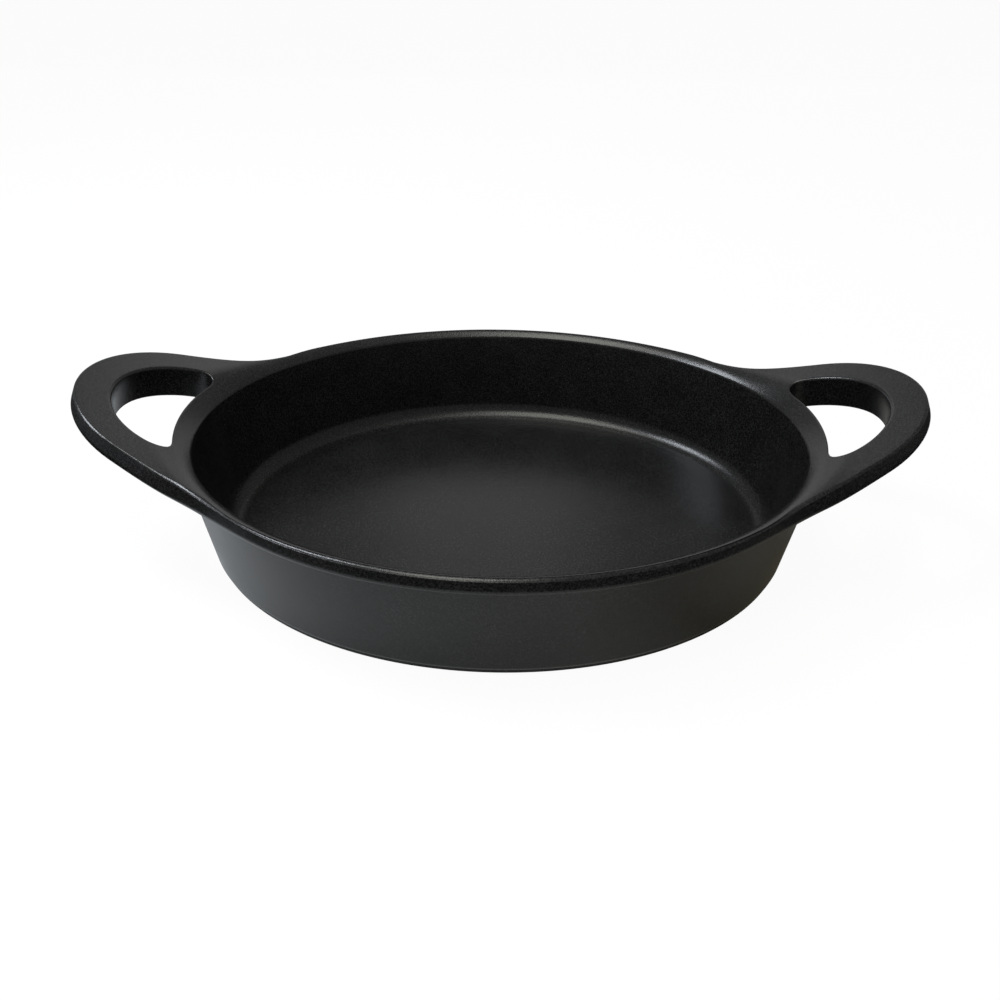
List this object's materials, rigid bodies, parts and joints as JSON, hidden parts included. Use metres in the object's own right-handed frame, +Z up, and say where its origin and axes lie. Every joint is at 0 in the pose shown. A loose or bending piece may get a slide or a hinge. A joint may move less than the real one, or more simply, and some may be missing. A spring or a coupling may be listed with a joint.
{
  "type": "oval casserole pan",
  "caption": "Shallow oval cast casserole pan with upswept loop handles in one with the rim, a dark non-stick lining and a steel induction disc set into the base.",
  "frame": {"origin": "centre of the base on the standing plane", "axes": "+X along the handles, +Y across the pan, +Z up"},
  "size_m": [0.3772, 0.2322, 0.0753],
  "materials": {
    "cast_body": "matt dark grey coating with a fine grain",
    "lining": "satin black non-stick coating with a fine speckle",
    "disc": "turned stainless steel"
  },
  "bodies": {
    "root": {"pan_body": "cast_body", "nonstick_lining": "lining", "induction_disc": "disc"}
  },
  "joints": []
}
